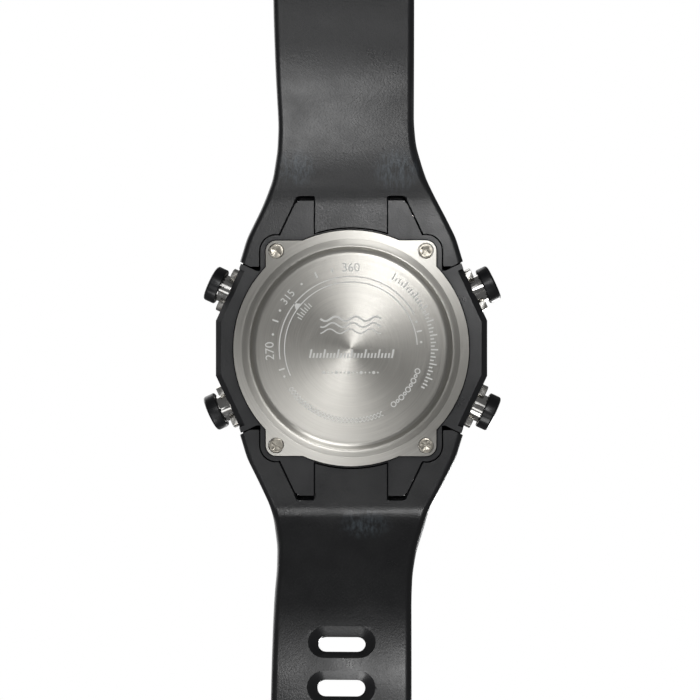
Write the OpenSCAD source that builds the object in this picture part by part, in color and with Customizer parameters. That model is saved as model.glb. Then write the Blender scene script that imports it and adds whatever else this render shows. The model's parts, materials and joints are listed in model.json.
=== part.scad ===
// Wrist dive computer: resin case, steel case back, four push buttons and a rubber strap.
// +Z points out of the display, +Y to 12 o'clock and +X to 3 o'clock.
// z = 0 is the wrist face of the case back, and the origin is its centre.

/* [Case] */
// Width of the resin case from 3 to 9 o'clock
case_w = 50.6; // [50.2:0.2:51.4]
// Distance of each button flat from the centre
flat_d = 25.1; // [24.9:0.1:25.3]
// Angle of the buttons above and below 3 and 9 o'clock
button_angle = 25; // [24:0.5:26]
// Height of the barrel above the wrist face
case_top = 11.2; // [11:0.1:12]
// Bevel along the outer edges of the case
case_bevel = 1.1; // [0.6:0.1:1.4]

/* [Case back] */
// Radius of the round steel plate
back_r = 21.9; // [21.5:0.1:22]
// Radius of the raised centre of the plate
disc_r = 17.3; // [16.8:0.1:17.6]
// Half the screw spacing across the case
ear_x = 13.9; // [13.6:0.05:14.2]
// Half the screw spacing along the case
ear_y = 18.05; // [17.9:0.05:18.2]
// Radius of each ear round its screw
ear_r = 1.95; // [1.8:0.05:2]

/* [Display] */
// Radius of the glass
crystal_r = 17.9; // [17.7:0.05:18]
// Outer radius of the steel bezel
bezel_r = 22.3; // [21.8:0.1:22.6]
// Height of the bezel top above the wrist face
bezel_top = 13.5; // [13.2:0.1:13.8]

/* [Buttons] */
// Diameter of the button caps
cap_dia = 6.85; // [6:0.05:7]
// Thickness of the button caps
cap_t = 2.35; // [1.9:0.05:2.6]
// Diameter of the polished plungers
shank_dia = 5.2; // [5:0.05:5.3]
// Diameter of the sealed stems
stem_dia = 1.8; // [1.6:0.05:1.9]
// Travel of a button
travel = 0.8; // [0.4:0.1:0.8]

/* [Strap] */
// Width of the strap
strap_w = 24.8; // [23.2:0.4:24.8]
// Width of a strap slot
slot_w = 8.85; // [8:0.05:9]
// Height of a strap slot
slot_h = 3.3; // [2.6:0.1:3.4]
// Distance between strap slots
slot_pitch = 8; // [7:0.1:8]
// Number of strap slots
slot_count = 11; // [6:1:11]
// Travel of the keeper loop each way
keeper_travel = 3; // [1:0.5:3]

/* [Hidden] */
$fn = 64;

// Heights above the wrist face
rim_z = 0.5;
resin_z = 0.75;
plate_top = 1.9;
tier_z = 3.9;
shelf_z = 11.4;
seat_z = 12;
board_z = 6.4;
board_t = 0.8;
// Case cavity
cavity_r = 17.4;
opening_r = 16.9;
crystal_t = 1.7;
gasket_w = 0.4;
core_r = 22.2;
barrel_r = 23.4;
collar_r = 19.3;
// Slope of the hoods over the strap ends, and room to lift the strap
hood_y = 22.2;
hood_slope = 40;
lift_slope = 14;
// Screw posts and the webs that tie them to the case
post_r = 2.95;
web_at = [14.4, 16.2];
web_size = [4.9, 4];
insert_r = 1.3;
// Lug tabs that grip the strap
tab_in = 6.93;
tab_y = 27.4;
lug_y = 27.6;
// Strap pins
pin_y = 24.6;
pin_z = 2.5;
pin_r = 0.8;
pin_len = 25;
// Buttons, along their own axis from the case centre
button_z = 6;
shank_r = shank_dia / 2;
stem_r = stem_dia / 2;
run = 0.05;
tube_r = 3.4;
flange_r = 4.3;
tube_in = 17.35;
tube_neck_r = 2.7;
tube_step = 20.6;
tube_floor = 21.3;
cap_out = 29.6;
cap_in = cap_out - cap_t;
guard_end = cap_in - travel - run;
shank_in = 24.2;
stem_in = 16.6;
seal_r = 0.5;
seal_stops = [18.6, 20.1];
// Strap side view
root_y = 22.4;
root_z = 0.8;
step = 1;
fit = 0.3;
upper_turns = [[0, 0], [4, 0], [13, -34], [28, -34], [44, -16], [54, 0], [200, 0]];
lower_turns = [[0, 0], [4, 0], [13, -34], [26, -34], [42, -15], [66, -4], [84, 0], [200, 0]];
thickness = [[0, 3], [5.2, 3], [9.5, 4], [16, 3.7], [28, 2.8], [36, 2.4], [200, 2.3]];
upper_len = 75;
lower_len = 127;
first_slot = 33.6;
// Buckle
buckle_wire = 1.3;
buckle_reach = 12;
knuckle_r = 1.9;
pin_hole_r = 0.8;
buckle_pin_r = 0.75;
tongue_w = 2.6;
keeper_clear = 10;
keeper_s = upper_len - keeper_clear - keeper_travel;
keeper_len = 6;
keeper_wall = 1.3;
// Parts inside the case
battery_y = 3;
battery_r = 10;
buzzer_spring_y = -11.5;
sensor_r = 2.6;
cover_r = 3.15;
cover_depth = 0.7;

function button_turn(i) = [button_angle, -button_angle, 180 + button_angle, 180 - button_angle][i - 1];

// Side path of a strap: points [y, z] along its wrist face, one step apart
function side_path(turns, len) = [
    for (i = 0, y = root_y, z = root_z; i * step <= len;
         y = y + step * cos(lookup((i + 0.5) * step, turns)),
         z = z + step * sin(lookup((i + 0.5) * step, turns)),
         i = i + 1) [y, z]
];
function path_at(turns, s) = let (p = side_path(turns, s)) p[len(p) - 1];
function outer_side(turns, len) = [
    for (i = 0, p = side_path(turns, len); i < len(p); i = i + 1)
        let (a = lookup(i * step, turns), t = lookup(i * step, thickness))
            [p[i][0] - t * sin(a), p[i][1] + t * cos(a)]
];
function reversed(p) = [for (i = [len(p) - 1 : -1 : 0]) p[i]];
function mirrored(p) = concat(p, [for (i = [len(p) - 1 : -1 : 0]) [-p[i][0], p[i][1]]]);

upper_pin = path_at(upper_turns, upper_len) + [0, 1.2];
keeper_mid = path_at(upper_turns, keeper_s);

module four_ways(x, y) {
    for (i = [-1, 1])
        for (j = [-1, 1])
            translate([i * x, j * y, 0]) children();
}

module both_ends() {
    children();
    mirror([0, 1, 0]) children();
}

module at_button(i) {
    rotate([0, 0, button_turn(i)]) translate([0, 0, button_z]) rotate([0, 90, 0]) children();
}

module tube(r_out, r_in, h) {
    difference() {
        cylinder(r = r_out, h = h);
        translate([0, 0, -1]) cylinder(r = r_in, h = h + 2);
    }
}

module torus(r, wire) {
    rotate_extrude() translate([r, 0]) circle(r = wire, $fn = 24);
}

// Side edge from the button flat to the middle of the case
flat_y = (flat_d - case_w / 2 * cos(button_angle)) / sin(button_angle);
corner = [20.9, 14.6];

// The four corners of a plan from the points of one of them
function all_corners(q) = concat(q, reversed([for (p = q) [-p[0], p[1]]]), [for (p = q) [-p[0], -p[1]]],
    reversed([for (p = q) [p[0], -p[1]]]));

// Plan of the case between the strap's shoulders
module core_plan(gap) {
    polygon(all_corners([[case_w / 2, flat_y], corner, [20.5, 15.75], [17.55, 14.35 + gap]]));
}

module lug_tab(gap) {
    polygon([[tab_in - gap, 18], [tab_in - gap, tab_y + 3 * gap], [9.6 + gap, tab_y + 3 * gap],
        [10.4 + gap, tab_y - 0.6 + 2 * gap], [13.2 + gap, 20.9], [13.2 + gap, 18]]);
}

module lower_tier(gap, z, h) {
    translate([0, 0, z]) linear_extrude(h) core_plan(gap);
    translate([0, 0, z]) cylinder(r = core_r + gap, h = h);
    four_ways(ear_x, ear_y) translate([0, 0, z]) cylinder(r = post_r + gap, h = h);
    four_ways(web_at[0], web_at[1]) translate([-web_size[0] / 2 - gap, -web_size[1] / 2, z])
        cube([web_size[0] + 2 * gap, web_size[1], h]);
    both_ends() {
        translate([0, 0, z]) linear_extrude(h) lug_tab(gap);
        mirror([1, 0, 0]) translate([0, 0, z]) linear_extrude(h) lug_tab(gap);
    }
}

module upper_plan() {
    polygon(all_corners([[case_w / 2, flat_y], corner, [20.4, 16], [19.3, 20.5], [16, lug_y]]));
}

// Bevel of a side that stands at dist from the centre and runs from one place to another along itself
module edge_bevel(turn, dist, from, to, z) {
    rotate([0, 0, turn]) translate([dist, 0, z]) rotate([0, 45, 0])
        translate([-case_bevel / sqrt(2), from, -case_bevel / sqrt(2)])
            cube([case_bevel * sqrt(2), to - from, case_bevel * sqrt(2)]);
}

module case_bevels(z) {
    run_out = 0.2;
    for (turn = [0, 180])
        edge_bevel(turn, case_w / 2, -flat_y - run_out, flat_y + run_out, z);
    near = flat_y * cos(button_angle) - case_w / 2 * sin(button_angle) - run_out;
    far = corner[1] * cos(button_angle) - corner[0] * sin(button_angle) + run_out;
    for (i = [1, 3])
        edge_bevel(button_turn(i), flat_d, near, far, z);
    for (i = [2, 4])
        edge_bevel(button_turn(i), flat_d, -far, -near, z);
}

module case_shell() {
    lower_tier(0, resin_z, tier_z - resin_z);
    difference() {
        intersection() {
            translate([0, 0, tier_z]) linear_extrude(case_top - tier_z) upper_plan();
            rotate_extrude()
                polygon([[0, 1], [36, 1], [36, case_top - 4.2], [22.9, case_top], [0, case_top]]);
        }
        // Room between the lugs for the strap's tongue
        both_ends() difference() {
            translate([-tab_in, 18, tier_z - 1]) cube([2 * tab_in, 12, 12]);
            translate([0, 0, tier_z - 2]) cylinder(r = barrel_r, h = 14);
        }
        // Slope of the hoods over the lugs
        both_ends() translate([0, hood_y, case_top]) rotate([-hood_slope, 0, 0])
            translate([-30, 0, 0]) cube([60, 20, 10]);
        // Relief under the hoods, so that the strap can lift
        both_ends() difference() {
            translate([0, pin_y, tier_z]) rotate([lift_slope, 0, 0]) translate([-30, 0, -3]) cube([60, 9, 3]);
            for (i = [0, 1])
                mirror([i, 0, 0]) translate([0, 0, 1]) linear_extrude(9) lug_tab(0);
        }
    }
    // The bezel's seat
    translate([0, 0, tier_z]) cylinder(r = barrel_r, h = case_top - tier_z);
    translate([0, 0, case_top - 1]) cylinder(r = collar_r, h = 3);
}

module hollow_case() difference() {
    difference() {
        case_shell();
        case_bevels(resin_z);
    }
    // Recess of the case back
    plate_plan(0.15, 0, plate_top + 0.05);
    cylinder(r = cavity_r, h = shelf_z);
    cylinder(r = opening_r, h = 20);
    translate([0, 0, seat_z]) cylinder(r = crystal_r + gasket_w, h = 5);
    // Groove of the case back seal
    translate([0, 0, plate_top - 0.1]) tube(19.3, 18.1, 1.15);
    four_ways(ear_x, ear_y) translate([0, 0, plate_top]) cylinder(r = insert_r, h = 3);
}

module case_body() color([0.07, 0.07, 0.08]) difference() {
    difference() {
        difference() {
            hollow_case();
            for (i = [1 : 4]) {
                at_button(i) translate([0, 0, 15]) cylinder(r = tube_neck_r, h = 8);
                at_button(i) translate([0, 0, tube_step]) cylinder(r = tube_r, h = 6);
                at_button(i) translate([0, 0, flat_d - 0.8]) cylinder(r = flange_r, h = 3);
            }
        }
        both_ends() translate([-pin_len / 2 - 0.1, pin_y, pin_z]) rotate([0, 90, 0])
            cylinder(r = pin_r, h = pin_len + 0.2);
    }
    sensor_bore();
}

module sensor_bore() {
    rotate([0, -90, 0]) translate([button_z, 0, 16]) cylinder(r = sensor_r + run, h = 5.6);
    rotate([0, -90, 0]) translate([button_z, 0, 20]) cylinder(r = 1.2, h = 8);
    rotate([0, -90, 0]) translate([button_z, 0, case_w / 2 - cover_depth])
        cylinder(r = cover_r + run, h = 3);
}

module bezel_ring() color([0.72, 0.72, 0.7]) difference() {
    rotate_extrude($fn = 96) polygon([[19.35, case_top], [bezel_r, case_top], [bezel_r, bezel_top - 1.4],
        [bezel_r - 0.5, bezel_top - 0.9], [19.9, bezel_top], [19.35, bezel_top - 0.2]]);
    for (i = [0 : 35])
        rotate([0, 0, 10 * i]) translate([i % 9 == 0 ? 20.2 : 20.9, -0.15, bezel_top - 0.75])
            cube([3, 0.3, 2]);
}

module crystal() color([0.8, 0.85, 0.85, 0.4]) translate([0, 0, seat_z]) rotate_extrude()
    polygon([[0, 0], [crystal_r, 0], [crystal_r, crystal_t - 0.3], [crystal_r - 0.3, crystal_t],
        [0, crystal_t]]);

module crystal_gasket() color([0.1, 0.1, 0.1]) translate([0, 0, seat_z])
    tube(crystal_r + gasket_w, crystal_r, crystal_t - 0.4);

module dial_flange() color([0.1, 0.1, 0.11]) rotate_extrude()
    polygon([[15.1, 10.6], [17.2, 10.6], [17.2, 11.35], [16.7, 11.35], [16.7, 11.9], [16.3, 11.9],
        [15.1, 10.9]]);

module lcd_glass() color([0.6, 0.65, 0.58]) intersection() {
    translate([0, 0, 8.9]) cylinder(r = 15.2, h = 1.6);
    translate([-16, -12.9, 8]) cube([32, 25.8, 4]);
}

module backlight_panel() color([0.9, 0.92, 0.9]) translate([-11, -10, 8.2]) cube([22, 20, 0.6]);

module lcd_connectors() color([0.75, 0.45, 0.5])
    both_ends() translate([-9, 11.1, board_z + board_t]) cube([18, 1.6, 1.7]);

module module_frame() color([0.85, 0.85, 0.82]) difference() {
    translate([0, 0, 3.3]) cylinder(r = 17.2, h = 7.25);
    translate([0, 0, board_z - 0.05]) cylinder(r = 15.9, h = 6);
    translate([0, battery_y, 3]) cylinder(r = battery_r + 0.15, h = 8);
    translate([0, buzzer_spring_y, 3]) cylinder(r = 1.5, h = 8);
    for (i = [1 : 4])
        rotate([0, 0, button_turn(i)]) translate([13.4, -2.4, 3]) cube([5, 4.8, 8]);
    translate([-18, -3.4, 3]) cube([3.5, 6.8, 8]);
    for (i = [-1, 1])
        translate([i * 12, battery_y, 4]) cube([1.2, 4.4, 12], center = true);
}

module main_board() color([0.05, 0.3, 0.15]) translate([0, 0, board_z]) difference() {
    cylinder(r = 15.4, h = board_t);
    translate([0, 14.9, -1]) cylinder(r = 0.8, h = 3);
}

module board_chips() color([0.08, 0.08, 0.08]) translate([0, 0, board_z + board_t]) {
    translate([-3.5, -3.5, 0]) cube([7, 7, 0.9]);
    translate([5.5, -2, 0]) cube([3, 4, 0.8]);
    translate([-9, 2, 0]) cube([3.2, 1.5, 0.9]);
    for (i = [0 : 4])
        translate([-8 + 2.2 * i, -7.5, 0]) cube([1, 1.6, 0.5]);
}

module battery() color([0.75, 0.76, 0.77]) translate([0, battery_y, 3]) rotate_extrude()
    polygon([[0, 0.25], [8.4, 0.25], [8.6, 0], [battery_r - 0.2, 0], [battery_r, 0.2], [battery_r, 3],
        [battery_r - 0.2, 3.2], [0, 3.2]]);

module battery_clip() color([0.8, 0.8, 0.78]) {
    translate([-12.3, battery_y - 2, 2.65]) cube([24.6, 4, 0.3]);
    for (i = [-1, 1])
        translate([i * 12.15 - 0.15, battery_y - 2, 2.65]) cube([0.3, 4, 3.4]);
}

module battery_insulator() color([0.9, 0.85, 0.4]) translate([0, battery_y, 6.22])
    cylinder(r = battery_r - 0.1, h = 0.12);

module buzzer() color([0.8, 0.65, 0.3]) {
    translate([0, 0, 1.05]) cylinder(r = 13.5, h = 0.25);
    translate([0, 0, 1.3]) cylinder(r = 12.6, h = 0.2);
}

// Round wire wound on radius r: rings of points along the helix, joined by quads
module coil(r, wire, turns, h) {
    sides = 8;
    steps = 16 * turns;
    points = [
        for (i = [0 : steps])
            for (j = [0 : sides - 1])
                let (a = 360 * turns * i / steps, b = 360 * j / sides, d = r + wire * cos(b))
                    [d * cos(a), d * sin(a), h * i / steps + wire * sin(b)]
    ];
    walls = [
        for (i = [0 : steps - 1])
            for (j = [0 : sides - 1])
                let (k = (j + 1) % sides)
                    [i * sides + j, i * sides + k, (i + 1) * sides + k, (i + 1) * sides + j]
    ];
    first = [for (j = [sides - 1 : -1 : 0]) j];
    last = [for (j = [0 : sides - 1]) steps * sides + j];
    polyhedron(points, concat(walls, [first, last]));
}

module buzzer_spring() color([0.85, 0.75, 0.4]) translate([0, buzzer_spring_y, 1.62])
    coil(0.9, 0.12, 5, 4.64);

module pressure_sensor() color([0.8, 0.8, 0.82]) rotate([0, -90, 0]) translate([button_z, 0, 17]) {
    cylinder(r = sensor_r, h = 3.2);
    translate([0, 0, 3.2]) cylinder(r = 1.5, h = 0.5);
    translate([-2.2, -3, -0.9]) cube([4.4, 6, 0.9]);
}

module sensor_gasket() color([0.1, 0.1, 0.1]) rotate([0, -90, 0]) translate([button_z, 0, 20.92])
    torus(1.95, 0.4);

module sensor_cover() color([0.7, 0.7, 0.68]) rotate([0, -90, 0])
    translate([button_z, 0, case_w / 2 - cover_depth]) difference() {
        cylinder(r = cover_r, h = cover_depth - run);
        for (i = [-1 : 1])
            translate([i * 1.3 - 0.25, -1.6, -1]) cube([0.5, 3.2, 3]);
    }

// Round plate with a rounded rectangle that makes the four ears
module plate_plan(gap, z, h) {
    translate([0, 0, z]) cylinder(r = back_r + gap, h = h);
    translate([-ear_x, -ear_y - ear_r - gap, z]) cube([2 * ear_x, 2 * (ear_y + ear_r + gap), h]);
    translate([-ear_x - ear_r - gap, -ear_y, z]) cube([2 * (ear_x + ear_r + gap), 2 * ear_y, h]);
    four_ways(ear_x, ear_y) translate([0, 0, z]) cylinder(r = ear_r + gap, h = h);
}

module case_back() color([0.75, 0.74, 0.7]) difference() {
    union() {
        difference() {
            plate_plan(0, rim_z, plate_top - rim_z);
            cylinder(r = 20.3, h = plate_top + 1);
        }
        rotate_extrude($fn = 96) polygon([[0, 0], [disc_r, 0], [disc_r + 0.45, 0.08], [disc_r + 0.9, 0.3],
            [disc_r + 1.25, 0.62], [18.9, 1], [19.1, 1], [19.4, 0.92], [20.3, rim_z], [20.4, rim_z],
            [20.4, plate_top], [disc_r, plate_top], [disc_r, 3.2], [16.5, 3.2], [16.5, 1.2], [16.3, 1],
            [0, 1]]);
    }
    four_ways(ear_x, ear_y) cylinder(r = 0.85, h = 5);
    four_ways(ear_x, ear_y) translate([0, 0, -1]) cylinder(r = 1.45, h = 1 + rim_z + 0.8);
}

module case_back_gasket() color([0.12, 0.12, 0.12]) translate([0, 0, 2.42]) torus(18.7, 0.5);

module case_back_screws() color([0.8, 0.8, 0.78]) four_ways(ear_x, ear_y) difference() {
    union() {
        translate([0, 0, rim_z + 0.1]) cylinder(r = 1.3, h = 0.68);
        translate([0, 0, rim_z + 0.7]) cylinder(r = 0.8, h = 3.2);
    }
    for (turn = [30, 120])
        rotate([0, 0, turn]) translate([-0.9, -0.16, rim_z]) cube([1.8, 0.32, 0.5]);
}

module screw_inserts() color([0.8, 0.65, 0.3]) four_ways(ear_x, ear_y) translate([0, 0, plate_top + 0.06])
    tube(insert_r, 0.82, 2.9);

module switch_contacts() color([0.85, 0.7, 0.35]) for (i = [1 : 4]) rotate([0, 0, button_turn(i)]) {
    translate([15.6, -1.4, 4.9]) cube([0.15, 2.8, 2]);
    translate([13.9, -1.4, board_z - 0.2]) cube([1.8, 2.8, 0.19]);
}

module button_tubes() color([0.72, 0.72, 0.7]) for (i = [1 : 4]) at_button(i) difference() {
    union() {
        translate([0, 0, tube_in]) cylinder(r = tube_neck_r, h = flat_d - tube_in);
        translate([0, 0, tube_step]) cylinder(r = tube_r, h = flat_d - tube_step);
        translate([0, 0, flat_d - 0.8]) cylinder(r = flange_r, h = guard_end - flat_d + 0.8);
    }
    translate([0, 0, tube_floor]) cylinder(r = shank_r + run, h = 9);
    translate([0, 0, tube_in - 1]) cylinder(r = stem_r + run, h = 9);
    for (d = seal_stops)
        translate([0, 0, d - seal_r - 0.02]) cylinder(r = stem_r + run + 2 * seal_r, h = 2 * seal_r + 0.04);
    translate([0, 0, flat_d]) cylinder(r = 3.1, h = 5);
    // The flange is cut away outside the two guard posts
    for (j = [-1, 1])
        translate([j * 4.7, 0, flat_d + 2]) cube([5.4, 12, 4], center = true);
}

module button_seals() color([0.1, 0.1, 0.1]) for (i = [1 : 4]) for (d = seal_stops)
    at_button(i) translate([0, 0, d]) torus(stem_r + run + seal_r, seal_r);

module button_cap(i) color([0.08, 0.08, 0.09]) at_button(i) translate([0, 0, cap_in]) rotate_extrude()
    polygon([[0, 0], [cap_dia / 2 - 0.2, 0], [cap_dia / 2, 0.2], [cap_dia / 2, cap_t - 0.45],
        [cap_dia / 2 - 0.15, cap_t - 0.2], [cap_dia / 2 - 0.45, cap_t - 0.06], [0, cap_t]]);

module button_stem(i) color([0.85, 0.85, 0.84]) at_button(i) difference() {
    union() {
        translate([0, 0, shank_in]) cylinder(r = shank_r, h = cap_in - shank_in);
        translate([0, 0, stem_in]) cylinder(r = stem_r, h = shank_in - stem_in + 0.5);
    }
    translate([0, 0, 17]) tube(2, 0.6, 0.3);
}

module button_clip(i) color([0.6, 0.6, 0.6]) at_button(i) translate([0, 0, 17.02]) difference() {
    tube(1.8, 0.62, 0.26);
    translate([0, -0.45, -1]) cube([3, 0.9, 3]);
}

module button_spring(i) color([0.8, 0.8, 0.78]) at_button(i) translate([0, 0, tube_floor + 0.24])
    coil(2.1, 0.2, 3, shank_in - tube_floor - 0.48);

module button_cap_1() button_cap(1);
module button_cap_2() button_cap(2);
module button_cap_3() button_cap(3);
module button_cap_4() button_cap(4);
module button_stem_1() button_stem(1);
module button_stem_2() button_stem(2);
module button_stem_3() button_stem(3);
module button_stem_4() button_stem(4);
module button_clip_1() button_clip(1);
module button_clip_2() button_clip(2);
module button_clip_3() button_clip(3);
module button_clip_4() button_clip(4);
module button_spring_1() button_spring(1);
module button_spring_2() button_spring(2);
module button_spring_3() button_spring(3);
module button_spring_4() button_spring(4);

module strap_pin() color([0.75, 0.75, 0.74]) translate([-pin_len / 2, pin_y, pin_z]) rotate([0, 90, 0])
    cylinder(r = pin_r - 0.02, h = pin_len);
module strap_pin_upper() strap_pin();
module strap_pin_lower() mirror([0, 1, 0]) strap_pin();

// Plan of a strap, from its shoulders beside the case to its straight part
shoulder = [[20.6, 16.3], [19.5, 20.5], [16.8, 26], [14.15, 31.1], [12.8, 36], [strap_w / 2, 40]];

module strap_side(turns, len, half_w) {
    profile = concat(side_path(turns, len), reversed(outer_side(turns, len)));
    rotate([90, 0, 90]) translate([0, 0, -half_w]) linear_extrude(2 * half_w) polygon(profile);
}

module strap_root(turns) {
    // Shoulders that wrap round the corners of the case, and the tongue between the lugs
    difference() {
        translate([-21, 15, root_z]) cube([42, root_y - 14.9, lookup(0, thickness)]);
        lower_tier(fit, -1, 8);
    }
    translate([-tab_in + fit, 0, 0]) rotate([90, 0, 90]) linear_extrude(2 * (tab_in - fit))
        polygon([[23.9, 3], [23.9, 5.6], [27, 6], [30, 5.2], [33, 3], [30, 2]]);
}

module strap_piece(turns, len, plan) {
    difference() {
        intersection() {
            union() {
                strap_side(turns, len, 21);
                strap_root(turns);
            }
            translate([0, 0, -40]) linear_extrude(60) polygon(mirrored(plan));
        }
        lower_tier(fit, -1, 8);
        translate([-20, pin_y, pin_z]) rotate([0, 90, 0]) cylinder(r = pin_r + 0.03, h = 40);
    }
}

module buckle_strap() color([0.13, 0.13, 0.14]) difference() {
    union() {
        strap_piece(upper_turns, upper_len, concat(shoulder, [[strap_w / 2, upper_pin[0]]]));
        translate([-strap_w / 2, upper_pin[0], upper_pin[1]]) rotate([0, 90, 0])
            cylinder(r = knuckle_r, h = strap_w);
    }
    translate([-20, upper_pin[0], upper_pin[1]]) rotate([0, 90, 0]) cylinder(r = pin_hole_r, h = 40);
    translate([-tongue_w / 2 - 0.4, upper_pin[0] - 4, upper_pin[1] - 5]) cube([tongue_w + 0.8, 10, 10]);
}

module slot_cut(s) {
    a = lookup(s, lower_turns);
    p = path_at(lower_turns, s);
    r = slot_h / 2;
    translate([0, p[0], p[1]]) rotate([a, 0, 0]) {
        translate([-(slot_w / 2 - r), -r, -3]) cube([slot_w - slot_h, slot_h, 9]);
        for (i = [-1, 1])
            translate([i * (slot_w / 2 - r), 0, -3]) cylinder(r = r, h = 9);
    }
}

module hole_strap() color([0.08, 0.08, 0.09]) mirror([0, 1, 0]) difference() {
    tip = path_at(lower_turns, lower_len)[0];
    w = strap_w / 2;
    strap_piece(lower_turns, lower_len, concat(shoulder, [[w, tip - 9], [w - 1.2, tip - 5],
        [w - 4, tip - 2], [w - 8, tip - 0.5], [1, tip]]));
    for (i = [0 : slot_count - 1])
        slot_cut(first_slot + slot_pitch * i);
}

module keeper_loop() color([0.1, 0.1, 0.11]) translate([0, keeper_mid[0] - keeper_len / 2, keeper_mid[1]])
    difference() {
        w = strap_w / 2 + 0.3;
        translate([-w - keeper_wall, 0, -keeper_wall - 0.15]) cube([2 * (w + keeper_wall), keeper_len, 8]);
        translate([-w, -1, -0.15]) cube([2 * w, keeper_len + 2, 5.4]);
    }

module buckle_frame() color([0.7, 0.7, 0.68]) translate([0, upper_pin[0], upper_pin[1]]) {
    w = strap_w / 2 + 0.35;
    difference() {
        for (i = [-1, 1])
            translate([i * (w + 1) - 1, -2, -buckle_wire]) cube([2, buckle_reach + 2, 2 * buckle_wire]);
        translate([-20, 0, 0]) rotate([0, 90, 0]) cylinder(r = buckle_pin_r, h = 40);
    }
    translate([-w - 2, buckle_reach, 0]) rotate([0, 90, 0]) cylinder(r = buckle_wire, h = 2 * w + 4);
}

module buckle_tongue() color([0.75, 0.75, 0.73]) translate([0, upper_pin[0], upper_pin[1]]) difference() {
    union() {
        translate([-tongue_w / 2, 0, 0]) rotate([0, 90, 0]) cylinder(r = 1.7, h = tongue_w);
        rotate([90, 0, 90]) translate([0, 0, -tongue_w / 2]) linear_extrude(tongue_w)
            polygon([[0, 0.7], [0, 1.7], [9.5, 2.5], [13.2, 2.1], [13.2, 1.5], [10.5, buckle_wire + 0.03]]);
    }
    translate([-5, 0, 0]) rotate([0, 90, 0]) cylinder(r = pin_hole_r, h = 10);
}

module buckle_pin() color([0.75, 0.75, 0.74]) translate([0, upper_pin[0], upper_pin[1]])
    translate([-strap_w / 2 - 2.2, 0, 0]) rotate([0, 90, 0]) cylinder(r = buckle_pin_r, h = strap_w + 4.4);

case_body();
bezel_ring();
crystal();
crystal_gasket();
dial_flange();
lcd_glass();
backlight_panel();
lcd_connectors();
module_frame();
main_board();
board_chips();
battery();
battery_clip();
battery_insulator();
buzzer();
buzzer_spring();
pressure_sensor();
sensor_gasket();
sensor_cover();
case_back();
case_back_gasket();
case_back_screws();
screw_inserts();
switch_contacts();
button_tubes();
button_seals();
button_cap_1();
button_cap_2();
button_cap_3();
button_cap_4();
button_stem_1();
button_stem_2();
button_stem_3();
button_stem_4();
button_clip_1();
button_clip_2();
button_clip_3();
button_clip_4();
button_spring_1();
button_spring_2();
button_spring_3();
button_spring_4();
strap_pin_upper();
strap_pin_lower();
buckle_strap();
hole_strap();
keeper_loop();
buckle_frame();
buckle_tongue();
buckle_pin();
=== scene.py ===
"""Looks of the wrist dive computer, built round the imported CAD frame.

Lengths are in millimetres until mesh_object() turns them into metres.
"""

import json
import math

import bmesh
import bpy
import numpy as np
from mathutils import Matrix, Vector


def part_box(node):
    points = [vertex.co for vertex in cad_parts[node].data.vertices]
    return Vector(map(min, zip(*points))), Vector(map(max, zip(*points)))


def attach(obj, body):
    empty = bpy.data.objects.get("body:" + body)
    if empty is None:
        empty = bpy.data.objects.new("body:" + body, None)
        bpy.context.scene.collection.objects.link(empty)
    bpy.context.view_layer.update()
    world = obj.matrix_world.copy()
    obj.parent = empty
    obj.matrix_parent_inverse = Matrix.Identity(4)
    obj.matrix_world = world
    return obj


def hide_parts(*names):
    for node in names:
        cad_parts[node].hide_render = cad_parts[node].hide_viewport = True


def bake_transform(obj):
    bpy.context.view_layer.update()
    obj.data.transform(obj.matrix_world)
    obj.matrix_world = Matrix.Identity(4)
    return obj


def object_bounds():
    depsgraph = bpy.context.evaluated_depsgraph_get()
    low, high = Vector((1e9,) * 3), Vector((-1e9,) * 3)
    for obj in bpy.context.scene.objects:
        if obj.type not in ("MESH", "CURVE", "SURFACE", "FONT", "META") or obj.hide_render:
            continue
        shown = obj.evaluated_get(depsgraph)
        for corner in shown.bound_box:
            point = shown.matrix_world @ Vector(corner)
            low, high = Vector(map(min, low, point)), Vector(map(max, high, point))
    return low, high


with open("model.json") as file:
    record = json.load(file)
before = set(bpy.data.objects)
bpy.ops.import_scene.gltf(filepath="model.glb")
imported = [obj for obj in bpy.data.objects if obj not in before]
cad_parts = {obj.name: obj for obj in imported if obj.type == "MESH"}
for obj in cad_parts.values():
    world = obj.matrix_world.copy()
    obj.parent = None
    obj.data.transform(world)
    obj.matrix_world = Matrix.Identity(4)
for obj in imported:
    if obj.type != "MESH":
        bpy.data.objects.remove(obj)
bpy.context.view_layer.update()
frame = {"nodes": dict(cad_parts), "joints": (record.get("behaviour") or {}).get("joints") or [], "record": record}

MM = 0.001
NODES = frame["nodes"]
SLOTS = {entry["node"]: entry["material_slot"] for entry in frame["record"]["subparts"]}


def low(node):
    """Lowest corner of a CAD node in millimetres."""
    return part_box(node)[0] / MM


def high(node):
    """Highest corner of a CAD node in millimetres."""
    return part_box(node)[1] / MM


# ---------------------------------------------------------------- meshes

def mesh_object(name, verts, faces, smooth=True):
    """A new object from points in millimetres."""
    mesh = bpy.data.meshes.new(name)
    mesh.from_pydata([[c * MM for c in v] for v in verts], [], faces)
    mesh.validate()
    mesh.polygons.foreach_set("use_smooth", [smooth] * len(mesh.polygons))
    obj = bpy.data.objects.new(name, mesh)
    bpy.context.scene.collection.objects.link(obj)
    return obj


def outward(obj):
    """Turns every face of a closed mesh outwards."""
    bm = bmesh.new()
    bm.from_mesh(obj.data)
    bmesh.ops.recalc_face_normals(bm, faces=bm.faces)
    bm.to_mesh(obj.data)
    bm.free()
    return obj


def apply_modifiers(obj):
    """Keeps the result of the modifiers as the object's own mesh."""
    graph = bpy.context.evaluated_depsgraph_get()
    result = bpy.data.meshes.new_from_object(obj.evaluated_get(graph))
    obj.modifiers.clear()
    obj.data = result
    return obj


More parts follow.
